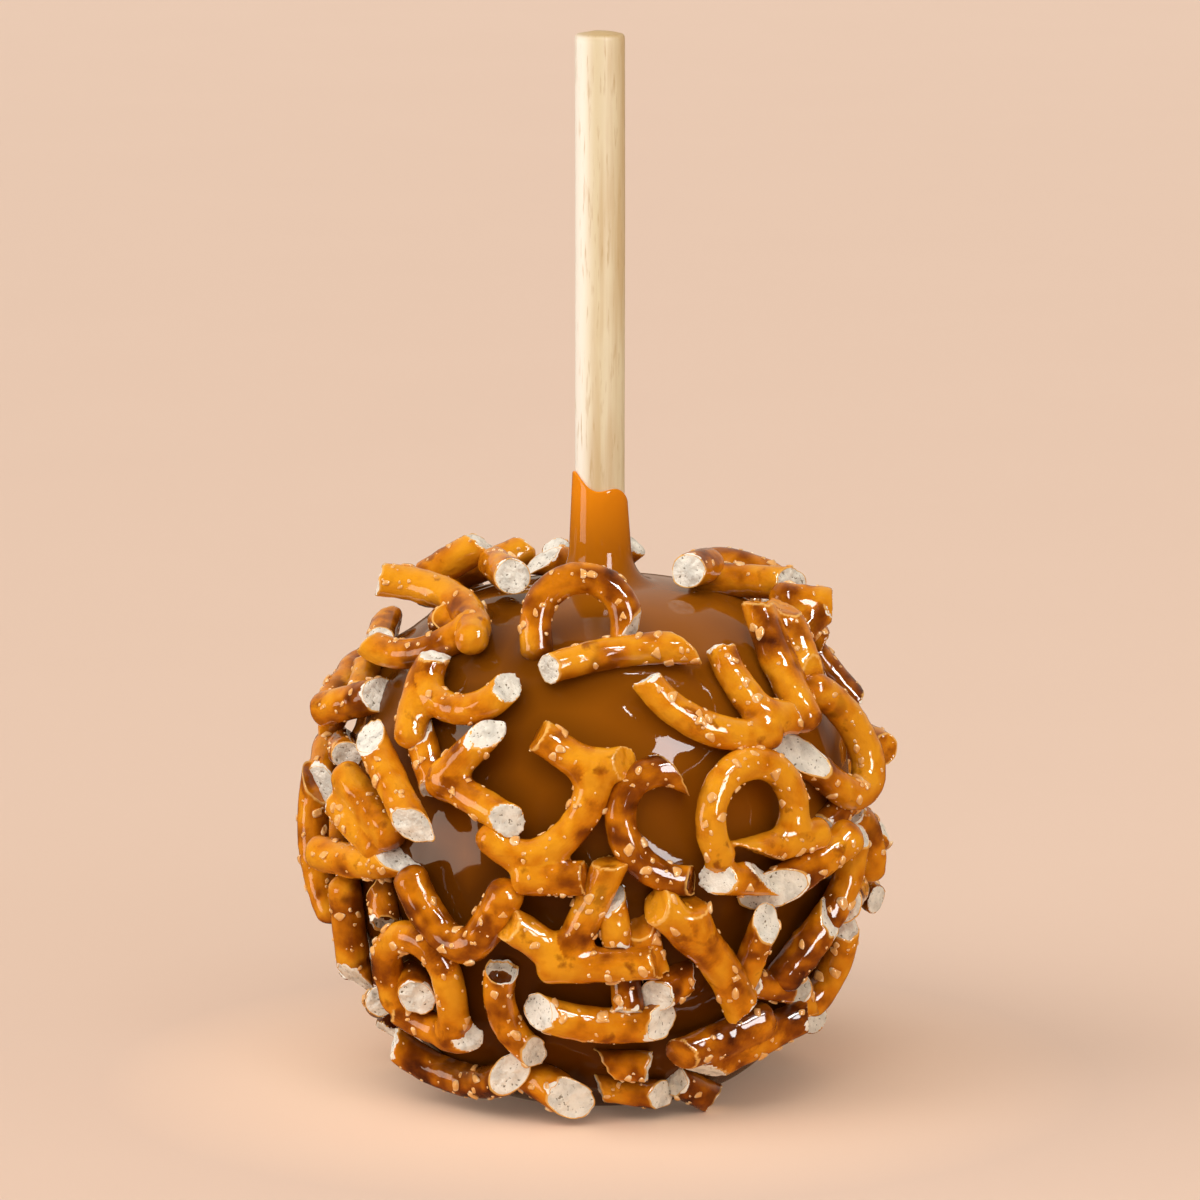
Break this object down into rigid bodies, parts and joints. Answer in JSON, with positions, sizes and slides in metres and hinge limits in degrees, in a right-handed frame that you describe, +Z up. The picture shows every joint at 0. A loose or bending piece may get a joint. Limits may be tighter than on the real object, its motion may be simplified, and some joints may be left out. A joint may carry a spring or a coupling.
{
  "type": "caramel apple",
  "caption": "Caramel-coated apple on a plain wooden dowel, rolled in broken salted pretzel pieces, standing on its flat base.",
  "frame": {"origin": "middle of the flat base that the apple stands on, on the axis of the stick", "axes": "+Z up along the stick, -Y towards the front, +X to the right seen from the front"},
  "size_m": [0.0775, 0.0755, 0.1363],
  "materials": {
    "caramel": "glossy set caramel",
    "pretzel_crust": "glazed baked crust",
    "birch_wood": "smooth bare wood"
  },
  "bodies": {
    "root": {"caramel_apple": "caramel", "pretzel_arch": "pretzel_crust", "pretzel_arch_low_left": "pretzel_crust", "pretzel_back_01": "pretzel_crust", "pretzel_back_02": "pretzel_crust", "pretzel_back_03": "pretzel_crust", "pretzel_back_04": "pretzel_crust", "pretzel_back_05": "pretzel_crust", "pretzel_back_06": "pretzel_crust", "pretzel_back_07": "pretzel_crust", "pretzel_back_08": "pretzel_crust", "pretzel_back_09": "pretzel_crust", "pretzel_back_10": "pretzel_crust", "pretzel_back_11": "pretzel_crust", "pretzel_back_12": "pretzel_crust", "pretzel_back_13": "pretzel_crust", "pretzel_back_14": "pretzel_crust", "pretzel_back_15": "pretzel_crust", "pretzel_back_16": "pretzel_crust", "pretzel_back_17": "pretzel_crust", "pretzel_back_18": "pretzel_crust", "pretzel_back_19": "pretzel_crust", "pretzel_back_20": "pretzel_crust", "pretzel_bar": "pretzel_crust", "pretzel_bar_bottom_left": "pretzel_crust", "pretzel_bone": "pretzel_crust", "pretzel_bow": "pretzel_crust", "pretzel_cross_low": "pretzel_crust", "pretzel_elbow_left": "pretzel_crust", "pretzel_far_top_right": "pretzel_crust", "pretzel_fork_right": "pretzel_crust", "pretzel_hook_left_edge": "pretzel_crust", "pretzel_hook_low": "pretzel_crust", "pretzel_knot_centre": "pretzel_crust", "pretzel_limb_left_edge": "pretzel_crust", "pretzel_loop_right": "pretzel_crust", "pretzel_peg_bottom": "pretzel_crust", "pretzel_peg_top_left": "pretzel_crust", "pretzel_peg_top_right": "pretzel_crust", "pretzel_prop_right": "pretzel_crust", "pretzel_ring": "pretzel_crust", "pretzel_rod_left": "pretzel_crust", "pretzel_rod_left_edge": "pretzel_crust", "pretzel_rod_low_left": "pretzel_crust", "pretzel_rod_right_low": "pretzel_crust", "pretzel_rod_right_under": "pretzel_crust", "pretzel_rod_top_left": "pretzel_crust", "pretzel_rod_top_right": "pretzel_crust", "pretzel_rods_left_low": "pretzel_crust", "pretzel_sickle": "pretzel_crust", "pretzel_slant_right": "pretzel_crust", "pretzel_strand_left_high": "pretzel_crust", "pretzel_strand_right": "pretzel_crust", "pretzel_strand_right_edge": "pretzel_crust", "pretzel_strand_right_low": "pretzel_crust", "pretzel_twin_bottom_right": "pretzel_crust", "pretzel_vee": "pretzel_crust", "pretzel_wedge_top_left": "pretzel_crust", "pretzel_wye_left": "pretzel_crust", "stick": "birch_wood"}
  },
  "joints": []
}
